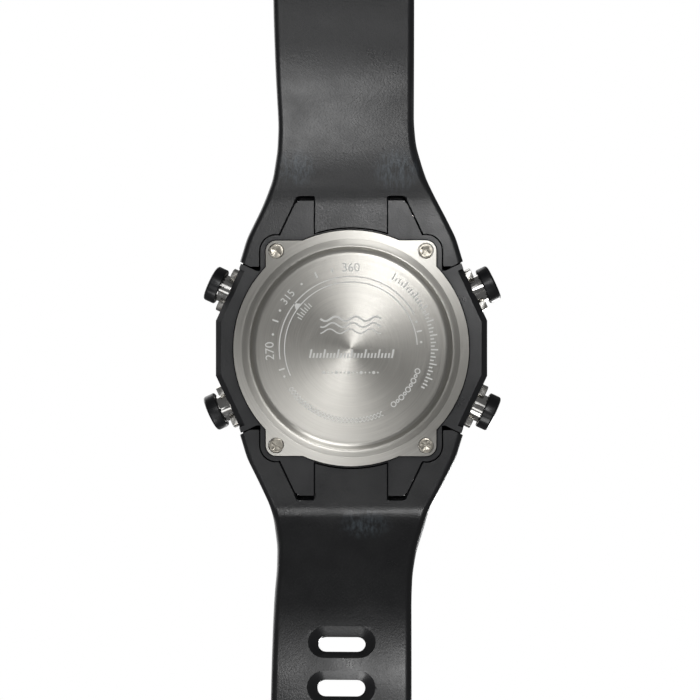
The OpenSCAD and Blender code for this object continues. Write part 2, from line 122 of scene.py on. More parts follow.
def cut(obj, cutter):
    """Takes a closed cutter out of a closed mesh."""
    modifier = obj.modifiers.new("cut", "BOOLEAN")
    modifier.operation = "DIFFERENCE"
    modifier.solver = "EXACT"
    modifier.object = cutter
    apply_modifiers(obj)
    bpy.data.objects.remove(cutter)
    return obj


def prism(name, outline, z0, z1):
    """A closed prism over an outline of [x, y] points."""
    n = len(outline)
    verts = [[x, y, z0] for x, y in outline] + [[x, y, z1] for x, y in outline]
    faces = [list(range(n))[::-1], list(range(n, 2 * n))]
    faces += [[i, (i + 1) % n, n + (i + 1) % n, n + i] for i in range(n)]
    return outward(mesh_object(name, verts, faces, False))


def arc(cx, cy, r, start, end, steps):
    """Points of an arc; angles in degrees."""
    turns = np.radians(np.linspace(start, end, steps + 1))
    return [[cx + r * math.cos(a), cy + r * math.sin(a)] for a in turns]


def tube_mesh(rings, closed=False):
    """Points and faces of a tube through rings of equal length. Open tubes get flat ends."""
    n = len(rings[0])
    verts = [p for ring in rings for p in ring]
    count = len(rings)
    faces = []
    for i in range(count if closed else count - 1):
        a, b = i * n, (i + 1) % count * n
        faces += [[a + j, a + (j + 1) % n, b + (j + 1) % n, b + j] for j in range(n)]
    if not closed:
        faces += [list(range(n))[::-1], [(count - 1) * n + j for j in range(n)]]
    return verts, faces


EDGE_ANGLE = 30
WELD_GAP = 2e-6


def soften(obj, width, angle=EDGE_ANGLE, plane=0.0):
    """Rounds the edges of a mesh and shades it by the area of its faces.

    Faces that meet within the plane angle are joined first, so that the bevel runs clean along flat sides.
    """
    obj.modifiers.new("weld", "WELD").merge_threshold = WELD_GAP
    if plane:
        planes = obj.modifiers.new("planes", "DECIMATE")
        planes.decimate_type = "DISSOLVE"
        planes.angle_limit = math.radians(plane)
    if width:
        bevel = obj.modifiers.new("bevel", "BEVEL")
        bevel.width = width * MM
        bevel.segments = 2
        bevel.limit_method = "ANGLE"
        bevel.angle_limit = math.radians(angle)
        bevel.miter_outer = "MITER_ARC"
    obj.modifiers.new("normals", "WEIGHTED_NORMAL").keep_sharp = False


# ---------------------------------------------------------------- materials

class Look:
    """One procedural material. Its coordinates are in millimetres in the frame."""

    def __init__(self, name, base, roughness, metallic=0.0, **inputs):
        self.material = bpy.data.materials.new(name)
        self.material.use_nodes = True
        self.tree = self.material.node_tree
        self.tree.nodes.clear()
        self.out = self.add("ShaderNodeOutputMaterial")
        self.shader = self.add("ShaderNodeBsdfPrincipled")
        self.tree.links.new(self.shader.outputs[0], self.out.inputs[0])
        self.put(self.shader, "Base Color", (*base, 1.0))
        self.put(self.shader, "Roughness", roughness)
        self.put(self.shader, "Metallic", metallic)
        for key, value in inputs.items():
            self.put(self.shader, key.replace("_", " "), value)
        place = self.add("ShaderNodeTexCoord").outputs["Object"]
        self.mm = self.vector("SCALE", place, 1 / MM)

    def add(self, kind, **settings):
        node = self.tree.nodes.new(kind)
        for key, value in settings.items():
            setattr(node, key, value)
        return node

    def put(self, node, key, value):
        """Sets or links one input."""
        if isinstance(value, bpy.types.NodeSocket):
            self.tree.links.new(value, node.inputs[key])
        else:
            node.inputs[key].default_value = value

    def vector(self, operation, a, b=None):
        node = self.add("ShaderNodeVectorMath", operation=operation)
        self.put(node, 0, a)
        if operation == "SCALE":
            self.put(node, "Scale", b)
        elif b is not None:
            self.put(node, 1, b)
        return node.outputs["Value" if operation == "LENGTH" else "Vector"]

    def math(self, operation, a, b=0.0):
        node = self.add("ShaderNodeMath", operation=operation)
        self.put(node, 0, a)
        self.put(node, 1, b)
        return node.outputs[0]

    def noise(self, scale, detail=3.0, roughness=0.5, at=None):
        node = self.add("ShaderNodeTexNoise")
        self.put(node, "Vector", at or self.mm)
        self.put(node, "Scale", scale)
        self.put(node, "Detail", detail)
        self.put(node, "Roughness", roughness)
        return node.outputs["Fac"]

    def range(self, value, low_in, high_in, low_out, high_out):
        node = self.add("ShaderNodeMapRange")
        keys = ("From Min", "From Max", "To Min", "To Max")
        for key, number in zip(keys, (low_in, high_in, low_out, high_out)):
            self.put(node, key, number)
        self.put(node, "Value", value)
        return node.outputs[0]

    def mix(self, share, a, b):
        node = self.add("ShaderNodeMix", data_type="RGBA")
        self.put(node, 0, share)
        self.put(node, 6, a if isinstance(a, bpy.types.NodeSocket) else (*a, 1.0))
        self.put(node, 7, b if isinstance(b, bpy.types.NodeSocket) else (*b, 1.0))
        return node.outputs[2]

    def parts(self):
        """X, Y and Z of the place."""
        node = self.add("ShaderNodeSeparateXYZ")
        self.put(node, 0, self.mm)
        return node.outputs

    def join(self, x, y, z):
        node = self.add("ShaderNodeCombineXYZ")
        for key, value in enumerate((x, y, z)):
            self.put(node, key, value)
        return node.outputs[0]

    def bump(self, height, distance, strength=1.0):
        """Relief of so many millimetres."""
        node = self.add("ShaderNodeBump")
        self.put(node, "Height", height)
        self.put(node, "Distance", distance * MM)
        self.put(node, "Strength", strength)
        self.put(self.shader, "Normal", node.outputs[0])

    def crevices(self, reach):
        """Painted shade from ambient occlusion: 1 in the open, falling to 0 deep in a groove as wide as the reach
        in millimetres.
        """
        node = self.add("ShaderNodeAmbientOcclusion", samples=6)
        self.put(node, "Distance", reach * MM)
        return self.math("POWER", node.outputs["AO"], 2.6)

    def blob(self, centre, radii):
        """1 at a place, falling to 0 at the radii round it."""
        offset = self.vector("SUBTRACT", self.mm, centre)
        share = self.vector("LENGTH", self.vector("DIVIDE", offset, radii))
        return self.range(share, 0.35, 1.0, 1.0, 0.0)

    def polar(self):
        """Distance from the Z axis and the angle round it."""
        x, y, _ = self.parts()
        r = self.math("SQRT", self.math("ADD", self.math("MULTIPLY", x, x), self.math("MULTIPLY", y, y)))
        return r, self.math("ARCTAN2", y, x)


def moulded(name, base, roughness, grain, relief, wear=0.25, gloss=0.5):
    """Moulded plastic: fine grain, uneven gloss, pale dust in patches, and painted shade that dims the specular
    deep in grooves.
    """
    look = Look(name, base, roughness)
    # Painted shade: ambient occlusion dims the specular in grooves and recesses
    look.put(look.shader, "Specular IOR Level", look.math("MULTIPLY", look.crevices(1.8), gloss))
    fine = look.noise(grain, 3.0, 0.7)
    broad = look.noise(0.12, 4.0, 0.6)
    dust = look.range(look.noise(0.9, 8.0, 0.7), 0.56, 0.8, 0.0, wear)
    pale = [min(1, c * 2.2 + 0.02) for c in base]
    look.put(look.shader, "Base Color", look.mix(dust, base, pale))
    look.put(look.shader, "Roughness", look.range(broad, 0.3, 0.7, roughness - 0.06, roughness + 0.08))
    look.bump(fine, relief)
    return look


def strap_look():
    """Satin rubber with bluish scuffs where the wrist and the table rub."""
    look = moulded("strap_rubber", (0.010, 0.0105, 0.0120), 0.32, 2.6, 0.03, 0.05, 0.8)
    x, y, z = look.parts()
    along = look.join(look.math("MULTIPLY", x, 1.7), look.math("MULTIPLY", y, 0.5), z)
    streaks = look.noise(1.0, 6.0, 0.7, along)
    patches = None
    for centre, radii in SCUFFS:
        patch = look.blob(centre, radii)
        patches = patch if patches is None else look.math("MAXIMUM", patches, patch)
    scuffed = look.math("MULTIPLY", patches, look.range(streaks, 0.42, 0.66, 0.0, 1.0))
    dusty = look.shader.inputs["Base Color"].links[0].from_socket
    share = look.math("MULTIPLY", scuffed, 0.7)
    look.put(look.shader, "Base Color", look.mix(share, dusty, (0.12, 0.15, 0.175)))
    return look


def turned_steel(name, base, roughness, anisotropic=0.8, rings=9.0, relief=0.004):
    """Lathe-turned steel: fine rings round the Z axis that stretch the highlights along the radius."""
    look = Look(name, base, roughness, 1.0, Anisotropic=anisotropic, Anisotropic_Rotation=0.25)
    r, angle = look.polar()
    tangent = look.add("ShaderNodeTangent", direction_type="RADIAL", axis="Z")
    look.put(look.shader, "Tangent", tangent.outputs[0])
    fine_at = look.join(look.math("MULTIPLY", r, rings), look.math("MULTIPLY", angle, 1.2), 0.0)
    fine = look.noise(1.0, 4.0, 0.7, fine_at)
    broad_at = look.join(look.math("MULTIPLY", r, 2.2), look.math("MULTIPLY", angle, 0.35), 5.0)
    broad = look.noise(1.0, 2.0, 0.5, broad_at)
    both = look.math("ADD", look.math("MULTIPLY", fine, 0.65), look.math("MULTIPLY", broad, 0.35))
    tone = [c * 0.86 for c in base]
    look.put(look.shader, "Base Color", look.mix(look.range(both, 0.35, 0.65, 0.0, 1.0), tone, base))
    look.put(look.shader, "Roughness", look.range(fine, 0.3, 0.7, roughness - 0.05, roughness + 0.07))
    look.bump(fine, relief)
    return look


def plain_steel(name, base, roughness, grain=3.0, relief=0.003, tint=None):
    """Machined or polished metal with faint smears, and rust tint where asked."""
    look = Look(name, base, roughness, 1.0)
    smear = look.noise(0.7, 5.0, 0.65)
    look.put(look.shader, "Roughness", look.range(smear, 0.35, 0.7, roughness * 0.75, roughness * 1.4))
    if tint:
        spots = look.range(look.noise(1.3, 4.0, 0.6), 0.6, 0.72, 0.0, 0.5)
        look.put(look.shader, "Base Color", look.mix(spots, base, tint))
    look.bump(look.noise(grain, 3.0, 0.5), relief)
    return look


def clear_glass(name):
    """Thin clear glass: lets the display show and reflects at a slant."""
    look = Look(name, (1, 1, 1), 0.02)
    fresnel = look.add("ShaderNodeFresnel")
    look.put(fresnel, "IOR", 1.5)
    clear = look.add("ShaderNodeBsdfTransparent")
    look.put(clear, "Color", (0.93, 0.96, 0.95, 1.0))
    gloss = look.add("ShaderNodeBsdfGlossy")
    look.put(gloss, "Roughness", look.range(look.noise(0.5, 3.0), 0.3, 0.7, 0.01, 0.05))
    mixed = look.add("ShaderNodeMixShader")
    front = look.math("SUBTRACT", 1.0, look.add("ShaderNodeNewGeometry").outputs["Backfacing"])
    look.put(mixed, 0, look.math("MULTIPLY", fresnel.outputs[0], front))
    look.put(mixed, 1, clear.outputs[0])
    look.put(mixed, 2, gloss.outputs[0])
    look.tree.links.new(mixed.outputs[0], look.out.inputs[0])
    return look


def lcd_look():
    """Grey-green liquid crystal cell with a faint pixel grid."""
    look = Look("lcd", (0.42, 0.47, 0.38), 0.35)
    x, y, _ = look.parts()
    grid = look.math("MULTIPLY", look.math("PINGPONG", x, 0.25), look.math("PINGPONG", y, 0.25))
    share = look.range(grid, 0.0, 0.02, 0.35, 0.0)
    look.put(look.shader, "Base Color", look.mix(share, (0.42, 0.47, 0.38), (0.33, 0.38, 0.3)))
    look.bump(look.noise(2.0), 0.002)
    return look


# Places of the scuffs: centre and radii
SCUFFS = [
    ((10.0, 33.5, -1.0), (4.0, 4.2, 4.0)),
    ((-8.5, 33.0, -1.0), (5.0, 5.0, 4.0)),
    ((-2.6, -32.7, 0.0), (5.5, 3.2, 4.0)),
]

STEEL = (0.60, 0.585, 0.545)
LOOKS = {
    "case_resin": moulded("case_resin", (0.010, 0.0105, 0.0125), 0.32, 3.0, 0.022, 0.06, 0.8),
    "case_steel": turned_steel("case_steel", STEEL, 0.35, 0.68, 4.5, 0.012),
    "bezel_steel": turned_steel("bezel_steel", (0.56, 0.56, 0.55), 0.24, 0.7),
    "polished_steel": plain_steel("polished_steel", (0.70, 0.69, 0.67), 0.14, tint=(0.34, 0.22, 0.13)),
    "guard_steel": plain_steel("guard_steel", (0.60, 0.59, 0.56), 0.26, tint=(0.36, 0.24, 0.15)),
    "screw_steel": plain_steel("screw_steel", (0.48, 0.45, 0.39), 0.3, tint=(0.3, 0.22, 0.13)),
    "spring_steel": plain_steel("spring_steel", (0.55, 0.55, 0.55), 0.3),
    "brass": plain_steel("brass", (0.72, 0.52, 0.24), 0.3),
    "glass": clear_glass("glass"),
    "lcd": lcd_look(),
    "light_guide": moulded("light_guide", (0.8, 0.82, 0.8), 0.3, 2.0, 0.004, 0.05),
    "seal_rubber": moulded("seal_rubber", (0.02, 0.02, 0.02), 0.55, 4.0, 0.01),
    "connector": moulded("connector", (0.55, 0.3, 0.34), 0.5, 4.0, 0.01),
    "strap_rubber": strap_look(),
    "cap_plastic": moulded("cap_plastic", (0.010, 0.0105, 0.012), 0.30, 5.0, 0.006, 0.15),
    "inner_plastic": moulded("inner_plastic", (0.7, 0.7, 0.67), 0.5, 4.0, 0.01, 0.1),
    "dial_plastic": moulded("dial_plastic", (0.02, 0.02, 0.022), 0.45, 6.0, 0.008, 0.1),
    "board": moulded("board", (0.02, 0.17, 0.07), 0.35, 3.0, 0.01, 0.1),
    "chip": moulded("chip", (0.02, 0.02, 0.02), 0.45, 5.0, 0.008),
    "battery_steel": plain_steel("battery_steel", (0.62, 0.63, 0.64), 0.25),
    "film": moulded("film", (0.75, 0.6, 0.15), 0.3, 2.0, 0.004, 0.05),
}
ETCH = moulded("etched_steel", (0.93, 0.93, 0.90), 0.55, 8.0, 0.004, 0.05)
INK = moulded("lcd_ink", (0.02, 0.025, 0.03), 0.4, 4.0, 0.002, 0.05)
PAINT = moulded("dial_paint", (0.82, 0.83, 0.8), 0.45, 6.0, 0.004, 0.05)
BLACK_FILL = moulded("black_fill", (0.015, 0.015, 0.016), 0.4, 6.0, 0.004, 0.05)


def paint(obj, material):
    """Gives the whole object one material."""
    obj.data.materials.clear()
    obj.data.materials.append(material)


# ---------------------------------------------------------------- CAD nodes

# Edge rounding of the nodes whose edges show
EDGES = {"case_body": 0.16, "case_back": 0.08, "bezel_ring": 0.06, "button_tubes": 0.07, "crystal": 0.05,
         "buckle_frame": 0.35, "buckle_tongue": 0.25, "case_back_screws": 0.03, "sensor_cover": 0.06}
CAP_EDGE, DEFAULT_EDGE = 0.08, 0.04
# Angles between faces, in degrees, from which an edge is rounded. Facets under FACET_PLANE count as one face
EDGE_ANGLES = {"case_body": 10, "case_back": 12}
FACET_PLANE = 0.4
# Round wires and rings have no edges to round
WIRES = ("spring", "gasket", "seals")

for name, slot in SLOTS.items():
    node = NODES[name]
    paint(node, LOOKS[slot].material)
    node.data.polygons.foreach_set("use_smooth", [True] * len(node.data.polygons))
    wire = any(word in name for word in WIRES)
    width = EDGES.get(name, CAP_EDGE if "button_cap" in name else DEFAULT_EDGE)
    plane = FACET_PLANE if name in EDGE_ANGLES else 0.0
    soften(node, 0 if wire else width, EDGE_ANGLES.get(name, EDGE_ANGLE), plane=plane)


# ---------------------------------------------------------------- button springs

COIL_WIRE, COIL_TURNS, COIL_LENGTH = 0.2, 3, 2.42
COIL_STEPS = 32 * COIL_TURNS


def spring_piece(joint):
    """A coil between the floor of its tube and the shank of its button."""
    number = joint["child"].split("_")[-1]
    node = "button_spring_" + number
    axis = -Vector(joint["axis"])
    side = Vector((-axis.y, axis.x, 0))
    centre = (low(node) + high(node)) / 2
    radius = (high(node).z - low(node).z) / 2 - COIL_WIRE
    rings = []
    for i in range(COIL_STEPS + 1):
        turn = 2 * math.pi * COIL_TURNS * i / COIL_STEPS
        out = side * math.cos(turn) + Vector((0, 0, math.sin(turn)))
        middle = centre + axis * COIL_LENGTH * (i / COIL_STEPS - 0.5) + out * radius
        rings.append([middle + out * a + axis * b for a, b in arc(0, 0, COIL_WIRE, 0, 330, 11)])
    obj = outward(mesh_object("button_coil_" + number, *tube_mesh(rings)))
    paint(obj, LOOKS[SLOTS[node]].material)
    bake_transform(obj)
    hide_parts(node)


for joint in frame["joints"]:
    if joint["child"].startswith("button_"):
        spring_piece(joint)


# ---------------------------------------------------------------- strap

# Where the path along the wrist face starts, and how far in the shoulders reach
ROOT_Y, ROOT_Z = 22.4, 0.8
SHOULDER_Y = 15.2
# Heading of each half in degrees, and thickness, by the length from the root
UPPER_TURNS = ((0, 0), (4, 0), (9, -20), (15, -31), (21, -36), (25, -39), (31, -30.5), (44, -16), (54, 0),
               (200, 0))
LOWER_TURNS = ((0, 0), (6.5, 0), (9.5, -31), (13, -34), (26, -34), (42, -15), (66, -4), (84, 0), (200, 0))
THICKNESS = ((0, 3.0), (5.2, 3.0), (9.5, 4.0), (16, 3.7), (28, 2.8), (36, 2.4), (200, 2.3))
UPPER_LENGTH, LOWER_LENGTH = 75.0, 127.0
# Half width of the plan by Y
STRAP_HALF = 12.4
OUTLINE = ((15.0, 21.2), (16.3, 20.75), (20.5, 19.5), (26, 16.75), (31.1, 14.15), (36, 12.8), (40, STRAP_HALF),
           (200, STRAP_HALF))
# Furthest sideways lean of each soft half
UPPER_LEAN, LOWER_LEAN = 0.75, 1.2
# Knuckle round the buckle pin: radius, height of its middle above the wrist face, and reach
KNUCKLE, MID, KNUCKLE_REACH = 1.9, 1.2, 3.5
# Rounded tip: length, power of its curve, and how much each face comes in
TIP_LENGTH, TIP_POWER, TIP_THIN = 10.0, 2.6, 0.5
# Tongue between the lugs and the two grooves along the outer face
TONGUE_RISE = 2.4
GROOVE_X, GROOVE_HALF, GROOVE_DEPTH = 8.2, 0.55, 0.28
# A ring narrower than this on each side has neither
GROOVED_HALF = 9
# Slots: place of the first, distance between them, how many, and half sizes
FIRST_SLOT, SLOT_PITCH, SLOT_COUNT = 33.6, 8.0, 11
SLOT_X, SLOT_Y = 4.225, 1.45
# How much longer and higher a slot is on each side, and height above the wrist face, level by level
SLOT_LEVELS = ((2.1, 1.85, -0.6), (1.95, 1.7, -0.03), (1.7, 1.45, 0.08), (1.2, 1.0, 0.42), (0.7, 0.55, 0.8),
               (0.25, 0.2, 1.05), (0.0, 0.0, 1.2), (0.0, 0.0, 2.2), (0.25, 0.25, 2.45), (0.4, 0.4, 4.5))
# Mesh: distance between rings, points across the wrist face, and rounded edges
STATION = 0.7
COLUMNS = 46
WRIST_ROUND, OUTER_ROUND = 1.25, 1.0
STRAP_EDGE, STRAP_ANGLE, STRAP_PLANE = 0.16, 35, 0.03


def lookup(x, table):
    """The value at x on a line through the table's pairs."""
    return float(np.interp(x, [p[0] for p in table], [p[1] for p in table]))


def smooth_step(x, a, b):
    """0 below a, 1 above b and a smooth rise between them."""
    t = min(1.0, max(0.0, (x - a) / (b - a)))
    return t * t * (3 - 2 * t)


def half_width(y):
    """Half width of the strap's plan, blended round the corners of its outline."""
    near = np.linspace(-1.6, 1.6, 9)
    weights = np.cos(near / 1.6 * math.pi / 2) + 0.05
    return float(np.average([lookup(y + d, OUTLINE) for d in near], weights=weights))


def side_stations(turns, length):
    """[s, y, z, heading] along the wrist face, from the shoulders to the end."""
    stations = [[y - ROOT_Y, y, ROOT_Z, 0.0] for y in np.arange(SHOULDER_Y, ROOT_Y, STATION)]
    fine = 0.1
    s, y, z = 0.0, ROOT_Y, ROOT_Z
    steps = int(round(length / fine))
    every = int(round(STATION / fine))
    for i in range(steps + 1):
        heading = math.radians(lookup(s, turns))
        if i % every == 0 or i == steps:
            stations.append([s, y, z, heading])
        s += fine
        y += fine * math.cos(heading)
        z += fine * math.sin(heading)
    return stations


def tongue_side(y):
    """Where the tongue of the root starts to fall away to each side."""
    return 6.6 + 1.1 * smooth_step(y, 28, 31)


def tongue_rise(x, y):
    """How far the middle of the root stands up between the lugs."""
    along = TONGUE_RISE * smooth_step(y, 23.7, 24.3) * (1 - smooth_step(y, 27.5, 34))
    side = tongue_side(y)
    return along * (1 - smooth_step(abs(x), side, side + 1.2))


def columns(edge, side):
    """Places across the outer face, close together where the tongue and the grooves fall away."""
    inner, outer = min(side - 0.4, edge * 0.6), min(side + 1.6, edge * 0.85)
    right = [*np.linspace(0, inner, 12)[:-1], *np.linspace(inner, outer, 15)[:-1], *np.linspace(outer, edge, 9)]
    return right[::-1] + [-x for x in right[1:]]


def groove(x, s, end):
    """Two shallow grooves along the outer face."""
    along = smooth_step(s, 11, 15) * (1 - smooth_step(s, end - 9, end - 5))
    return GROOVE_DEPTH * along * math.exp(-(((abs(x) - GROOVE_X) / GROOVE_HALF) ** 2))


def section(half, low_side, high_side, rise, side):
    """One ring of the strap as [x, height] points: flat wrist face, rounded edges and the outer face."""
    thick = high_side - low_side
    r1 = min(WRIST_ROUND, half * 0.6, thick * 0.52)
    r2 = min(OUTER_ROUND, half * 0.6, thick * 0.44)
    ring = [[x, low_side] for x in np.linspace(-(half - r1), half - r1, COLUMNS)]
    ring += arc(half - r1, low_side + r1, r1, -90, 0, 6)[1:]
    ring += arc(half - r2, high_side - r2, r2, 0, 90, 6)
    ring += [[x, high_side + rise(x)] for x in columns(half - r2, side)][1:]
    ring += arc(-(half - r2), high_side - r2, r2, 90, 180, 6)[1:]
    ring += arc(-(half - r1), low_side + r1, r1, 180, 270, 6)[:-1]
    return ring


def drift(y, lower):
    """Sideways lean of the soft strap: the upper half comes back to the middle at its buckle."""
    if lower:
        return LOWER_LEAN * smooth_step(y, 24, 46)
    return UPPER_LEAN * smooth_step(y, 24, 38) * (1 - smooth_step(y, 64, 91))


def place_ring(ring, y, z, heading, lower):
    """Stands a ring of [x, height] points across the path of one half."""
    lean = drift(y, lower)
    points = [[x + lean, y - h * math.sin(heading), z + h * math.cos(heading)] for x, h in ring]
    return [[x, -py, pz] for x, py, pz in points] if lower else points


# Gap round the screw posts and the barrel
CASE_GAP = 0.27
# The groove round the lug tabs by height: wide at the wrist face, closed up below it, and then opening
# towards the front to leave room for the strap's swing. Gaps beside the tab, on its flank and past its end,
# and the cut of the end's corners
NOTCH_LEVELS = (
    (-3.0, (0.27, 0.27, 0.9, 0.25)), (1.3, (0.27, 0.27, 0.9, 0.25)),
    (1.38, (0.012, 0.012, 0.9, 0.25)), (2.5, (0.012, 0.012, 0.9, 0.25)),
    (2.55, (0.012, 0.012, 0.05, 0)), (2.7, (0.012, 0.03, 0.07, 0)), (3.2, (0.012, 0.1, 0.22, 0)),
    (3.8, (0.012, 0.16, 0.52, 0)), (4.65, (0.012, 0.26, 0.7, 0)), (9.0, (0.012, 0.65, 1.6, 0)),
)


def case_notch(tab_gap, flank_gap, tab_end, corner):
    """Plan of the room that the case takes out of the strap root: lug tabs, screw posts and barrel."""
    gap = CASE_GAP
    post_x, post_y, post_r = 13.9, 18.05, 2.95
    core_r, tab_in, tab_y = 22.2, 6.93, 27.4
    side = [[24.0, 17.7 + gap], [20.5, 15.75 + gap], [17.55, 14.35 + gap], [post_x + post_r + gap, 15.4]]
    side += arc(post_x, post_y, post_r + gap, 0, 84, 10)
    inner, end_y = tab_in - tab_gap, tab_y + tab_end
    side += [[13.2 + flank_gap, 21.2], [10.45 + flank_gap, tab_y - 0.5], [10.0 + flank_gap, end_y - corner],
             [9.5, end_y], [inner + 0.25, end_y], [inner, end_y - corner]]
    rim = core_r + gap
    edge = math.degrees(math.acos(inner / rim))
    bottom = arc(0, 0, rim, edge, 180 - edge, 16)
    return [[24.0, 8.0]] + side + bottom + [[-x, y] for x, y in side[::-1]] + [[-24.0, 8.0]]


def strap_half(name, turns, length, lower):
    """One rubber strap half with the case's notch: the lower one ends in a tip, the upper one in a knuckle."""
    rings = []
    for s, y, z, heading in side_stations(turns, length):
        half = half_width(y)
        low_side, high_side = 0.0, lookup(max(s, 0), THICKNESS)
        if lower and s > length - TIP_LENGTH:
            share = (s - length + TIP_LENGTH) / TIP_LENGTH
            half = max(0.6, half * (1 - min(share, 0.999) ** TIP_POWER) ** (1 / TIP_POWER))
            thin = TIP_THIN * smooth_step(share, 0.6, 1.0)
            low_side, high_side = low_side + thin, high_side - thin
        if not lower and s > length - KNUCKLE_REACH:
            swell = math.sqrt(max(KNUCKLE**2 - (s - length) ** 2, 0.0))
            mid_half = max(swell, (high_side - low_side) / 2)
            low_side, high_side = MID - mid_half, MID + mid_half

        def rise(x, y=y, s=s, half=half):
            return tongue_rise(x, y) - groove(x, s, length) if half >= GROOVED_HALF else 0.0

        rings.append(place_ring(section(half, low_side, high_side, rise, tongue_side(y)), y, z, heading, lower))
    if not lower:
        _, y, z, heading = side_stations(turns, length)[-1]
        for turn in (20, 40, 60, 75, 86):
            swell = KNUCKLE * math.cos(math.radians(turn))
            forward = KNUCKLE * math.sin(math.radians(turn))
            ring = section(STRAP_HALF, MID - swell, MID + swell, lambda x: 0.0, tongue_side(y))
            rings.append(place_ring(ring, y + forward, z, heading, lower))
    obj = outward(mesh_object(name, *tube_mesh(rings)))
    flip = -1 if lower else 1
    levels = [[[x, flip * y, z] for x, y in case_notch(*gaps)] for z, gaps in NOTCH_LEVELS]
    return cut(obj, outward(mesh_object("notch", *tube_mesh(levels), False)))


def stadium(half_x, r):
    """A slot outline of [x, y] points with round ends."""
    return arc(half_x - r, 0, r, -90, 90, 10) + arc(-(half_x - r), 0, r, 90, 270, 10)


def slot_cutter():
    """All through slots with a dished countersink on the wrist face, as one mesh."""
    verts, faces = [], []
    stations = side_stations(LOWER_TURNS, LOWER_LENGTH)
    lengths = [station[0] for station in stations]
    for k in range(SLOT_COUNT):
        s = FIRST_SLOT + k * SLOT_PITCH
        y, z, heading = [float(np.interp(s, lengths, [station[i] for station in stations])) for i in (1, 2, 3)]
        lean, cos, sin = drift(y, True), math.cos(heading), math.sin(heading)
        rings = [[[x + lean, -(y + v * cos - h * sin), z + v * sin + h * cos]
                  for x, v in stadium(SLOT_X + more_x, SLOT_Y + more_y)] for more_x, more_y, h in SLOT_LEVELS]
        slot_verts, slot_faces = tube_mesh(rings)
        faces += [[i + len(verts) for i in face] for face in slot_faces]
        verts += slot_verts
    return outward(mesh_object("slots", verts, faces, False))


def finish_strap(obj, node, body):
    """Rounds the edges of a strap half and hands it to its body."""
    soften(obj, STRAP_EDGE, STRAP_ANGLE, STRAP_PLANE)
    apply_modifiers(obj)
    paint(obj, LOOKS["strap_rubber"].material)
    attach(obj, body)
    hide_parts(node)


def buckle_strap_piece():
    """The 12 o'clock half, with the bore for the buckle pin and the gap for the buckle tongue."""
    obj = strap_half("buckle_strap_rubber", UPPER_TURNS, UPPER_LENGTH, False)
    pin = (low("buckle_pin") + high("buckle_pin")) / 2
    gap_half, bore = 1.7, 0.78
    gap = [[-gap_half, pin.y - 4.2], [gap_half, pin.y - 4.2], [gap_half, pin.y + 5], [-gap_half, pin.y + 5]]
    cut(obj, prism("tongue_gap", gap, pin.z - 4, pin.z + 4))
    rings = [[[x, pin.y + a, pin.z + b] for a, b in arc(0, 0, bore, 0, 345, 23)] for x in (-14, 14)]
    cut(obj, outward(mesh_object("bore", *tube_mesh(rings), False)))
    finish_strap(obj, "buckle_strap", "strap_12")


def hole_strap_piece():
    """The 6 o'clock half with its slots."""
    obj = strap_half("hole_strap_rubber", LOWER_TURNS, LOWER_LENGTH, True)
    cut(obj, slot_cutter())
    finish_strap(obj, "hole_strap", "strap_6")


def keeper_piece():
    """The loose loop: a band with rounded edges swept round a rounded rectangle."""
    a, b = low("keeper_loop"), high("keeper_loop")
    wall, corner, edge, slack = 1.3, 1.7, 0.45, 0.2
    cx, cy, cz = drift((a.y + b.y) / 2, False), (a.y + b.y) / 2, (a.z + b.z - slack) / 2
    hx, hz = (b.x - a.x - wall) / 2, (b.z - a.z - slack - wall) / 2
    path = []
    for turn, sx, sz in ((0, 1, 1), (90, -1, 1), (180, -1, -1), (270, 1, -1)):
        bend = arc(sx * (hx - corner), sz * (hz - corner), corner, turn, turn + 90, 6)
        path += [(point, turn + 90 * i / 6) for i, point in enumerate(bend)]
    profile = []
    length = b.y - a.y
    for sy, sn, turn in ((1, 1, 0), (-1, 1, 90), (-1, -1, 180), (1, -1, 270)):
        profile += arc(sy * (length / 2 - edge), sn * (wall / 2 - edge), edge, turn, turn + 90, 4)
    rings = []
    for (px, pz), turn in path:
        nx, nz = math.cos(math.radians(turn)), math.sin(math.radians(turn))
        rings.append([[cx + px + nx * n, cy + v, cz + pz + nz * n] for v, n in profile])
    obj = outward(mesh_object("keeper_rubber", *tube_mesh(rings, closed=True)))
    paint(obj, LOOKS["strap_rubber"].material)
    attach(obj, "keeper")
    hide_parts("keeper_loop")


buckle_strap_piece()
hole_strap_piece()
keeper_piece()


# ---------------------------------------------------------------- marks

